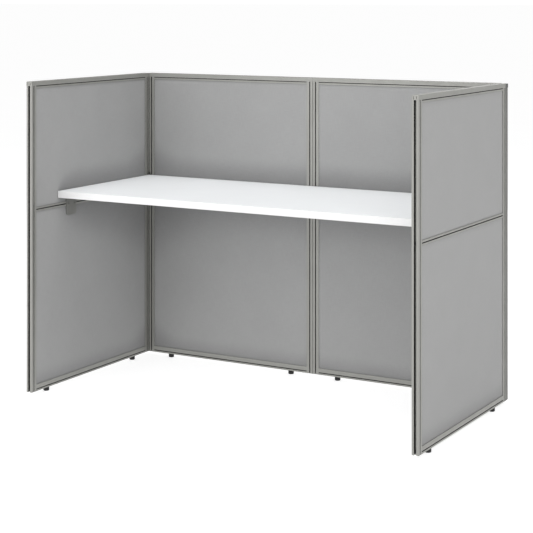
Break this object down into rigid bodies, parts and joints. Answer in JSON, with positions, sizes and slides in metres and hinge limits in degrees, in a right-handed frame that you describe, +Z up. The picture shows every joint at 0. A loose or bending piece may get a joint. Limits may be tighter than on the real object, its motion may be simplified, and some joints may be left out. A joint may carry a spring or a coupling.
{
  "type": "study carrel",
  "caption": "Three-sided study carrel: fabric-covered framed privacy panels on levelling feet round a white laminate desktop.",
  "frame": {"origin": "on the floor, at the middle of the footprint", "axes": "+X to the sitter's right as they face the desk, +Y towards the back panels, +Z up"},
  "size_m": [1.5748, 0.7874, 1.158],
  "materials": {
    "frame": "satin warm grey powder coat",
    "tile_fabric": "fine grey woven panel cloth",
    "corner_post": "darker grey powder coat",
    "post_cap": "moulded dark grey",
    "connector": "black anodised",
    "fastener": "black zinc plated",
    "bracket": "grey powder coat",
    "laminate": "white laminate on particle board, satin",
    "edge_band": "white edge band, satin",
    "foot_pad": "black moulded glide",
    "foot_stem": "blackened steel"
  },
  "bodies": {
    "root": {"left_front_stile": "frame", "left_rear_stile": "frame", "left_top_cap": "frame", "left_top_rail": "frame", "left_middle_rail": "frame", "left_bottom_rail": "frame", "left_upper_tile": "tile_fabric", "left_lower_tile": "tile_fabric", "back_left_outer_stile": "frame", "back_left_inner_stile": "frame", "back_left_top_cap": "frame", "back_left_top_rail": "frame", "back_left_middle_rail": "frame", "back_left_bottom_rail": "frame", "back_left_upper_tile": "tile_fabric", "back_left_lower_tile": "tile_fabric", "back_right_inner_stile": "frame", "back_right_outer_stile": "frame", "back_right_top_cap": "frame", "back_right_top_rail": "frame", "back_right_middle_rail": "frame", "back_right_bottom_rail": "frame", "back_right_upper_tile": "tile_fabric", "back_right_lower_tile": "tile_fabric", "right_front_stile": "frame", "right_rear_stile": "frame", "right_top_cap": "frame", "right_top_rail": "frame", "right_middle_rail": "frame", "right_bottom_rail": "frame", "right_upper_tile": "tile_fabric", "right_lower_tile": "tile_fabric", "left_corner_post": "corner_post", "right_corner_post": "corner_post", "corner_post_caps": "post_cap", "panel_connectors": "connector", "leveller_nuts": "fastener", "left_desk_bracket": "bracket", "right_desk_bracket": "bracket", "centre_desk_bracket": "bracket", "desktop": "laminate", "desktop_edge_band": "edge_band", "frame_screws": "fastener", "bracket_screws": "fastener"},
    "left_front_foot_pad_body": {"left_front_foot_pad": "foot_pad"},
    "left_front_foot_stem_body": {"left_front_foot_stem": "foot_stem"},
    "left_rear_foot_pad_body": {"left_rear_foot_pad": "foot_pad"},
    "left_rear_foot_stem_body": {"left_rear_foot_stem": "foot_stem"},
    "back_left_outer_foot_pad_body": {"back_left_outer_foot_pad": "foot_pad"},
    "back_left_outer_foot_stem_body": {"back_left_outer_foot_stem": "foot_stem"},
    "back_left_inner_foot_pad_body": {"back_left_inner_foot_pad": "foot_pad"},
    "back_left_inner_foot_stem_body": {"back_left_inner_foot_stem": "foot_stem"},
    "back_right_inner_foot_pad_body": {"back_right_inner_foot_pad": "foot_pad"},
    "back_right_inner_foot_stem_body": {"back_right_inner_foot_stem": "foot_stem"},
    "back_right_outer_foot_pad_body": {"back_right_outer_foot_pad": "foot_pad"},
    "back_right_outer_foot_stem_body": {"back_right_outer_foot_stem": "foot_stem"},
    "right_front_foot_pad_body": {"right_front_foot_pad": "foot_pad"},
    "right_front_foot_stem_body": {"right_front_foot_stem": "foot_stem"},
    "right_rear_foot_pad_body": {"right_rear_foot_pad": "foot_pad"},
    "right_rear_foot_stem_body": {"right_rear_foot_stem": "foot_stem"}
  },
  "joints": [
    {"name": "left_front_foot_extend", "type": "slide", "parent": "root", "child": "left_front_foot_pad_body", "axis": [0, 0, -1], "range_m": [0, 0.01]},
    {"name": "left_front_foot_screw", "type": "hinge", "parent": "left_front_foot_pad_body", "child": "left_front_foot_stem_body", "pos_m": [-0.7747, -0.2921, 0.0056], "axis": [0, 0, -1], "range_deg": [0, 2880]},
    {"name": "left_rear_foot_extend", "type": "slide", "parent": "root", "child": "left_rear_foot_pad_body", "axis": [0, 0, -1], "range_m": [0, 0.01]},
    {"name": "left_rear_foot_screw", "type": "hinge", "parent": "left_rear_foot_pad_body", "child": "left_rear_foot_stem_body", "pos_m": [-0.7747, 0.2662, 0.0056], "axis": [0, 0, -1], "range_deg": [0, 2880]},
    {"name": "back_left_outer_foot_extend", "type": "slide", "parent": "root", "child": "back_left_outer_foot_pad_body", "axis": [0, 0, -1], "range_m": [0, 0.01]},
    {"name": "back_left_outer_foot_screw", "type": "hinge", "parent": "back_left_outer_foot_pad_body", "child": "back_left_outer_foot_stem_body", "pos_m": [-0.66015, 0.381, 0.0056], "axis": [0, 0, -1], "range_deg": [0, 2880]},
    {"name": "back_left_inner_foot_extend", "type": "slide", "parent": "root", "child": "back_left_inner_foot_pad_body", "axis": [0, 0, -1], "range_m": [0, 0.01]},
    {"name": "back_left_inner_foot_screw", "type": "hinge", "parent": "back_left_inner_foot_pad_body", "child": "back_left_inner_foot_stem_body", "pos_m": [-0.10185, 0.381, 0.0056], "axis": [0, 0, -1], "range_deg": [0, 2880]},
    {"name": "back_right_inner_foot_extend", "type": "slide", "parent": "root", "child": "back_right_inner_foot_pad_body", "axis": [0, 0, -1], "range_m": [0, 0.01]},
    {"name": "back_right_inner_foot_screw", "type": "hinge", "parent": "back_right_inner_foot_pad_body", "child": "back_right_inner_foot_stem_body", "pos_m": [0.10185, 0.381, 0.0056], "axis": [0, 0, -1], "range_deg": [0, 2880]},
    {"name": "back_right_outer_foot_extend", "type": "slide", "parent": "root", "child": "back_right_outer_foot_pad_body", "axis": [0, 0, -1], "range_m": [0, 0.01]},
    {"name": "back_right_outer_foot_screw", "type": "hinge", "parent": "back_right_outer_foot_pad_body", "child": "back_right_outer_foot_stem_body", "pos_m": [0.66015, 0.381, 0.0056], "axis": [0, 0, -1], "range_deg": [0, 2880]},
    {"name": "right_front_foot_extend", "type": "slide", "parent": "root", "child": "right_front_foot_pad_body", "axis": [0, 0, -1], "range_m": [0, 0.01]},
    {"name": "right_front_foot_screw", "type": "hinge", "parent": "right_front_foot_pad_body", "child": "right_front_foot_stem_body", "pos_m": [0.7747, -0.2921, 0.0056], "axis": [0, 0, -1], "range_deg": [0, 2880]},
    {"name": "right_rear_foot_extend", "type": "slide", "parent": "root", "child": "right_rear_foot_pad_body", "axis": [0, 0, -1], "range_m": [0, 0.01]},
    {"name": "right_rear_foot_screw", "type": "hinge", "parent": "right_rear_foot_pad_body", "child": "right_rear_foot_stem_body", "pos_m": [0.7747, 0.2662, 0.0056], "axis": [0, 0, -1], "range_deg": [0, 2880]}
  ],
  "couplings": [
    {"joint": "left_front_foot_screw", "follows": "left_front_foot_extend", "rad_per_m": 5026.5},
    {"joint": "left_rear_foot_screw", "follows": "left_rear_foot_extend", "rad_per_m": 5026.5},
    {"joint": "back_left_outer_foot_screw", "follows": "back_left_outer_foot_extend", "rad_per_m": 5026.5},
    {"joint": "back_left_inner_foot_screw", "follows": "back_left_inner_foot_extend", "rad_per_m": 5026.5},
    {"joint": "back_right_inner_foot_screw", "follows": "back_right_inner_foot_extend", "rad_per_m": 5026.5},
    {"joint": "back_right_outer_foot_screw", "follows": "back_right_outer_foot_extend", "rad_per_m": 5026.5},
    {"joint": "right_front_foot_screw", "follows": "right_front_foot_extend", "rad_per_m": 5026.5},
    {"joint": "right_rear_foot_screw", "follows": "right_rear_foot_extend", "rad_per_m": 5026.5}
  ]
}
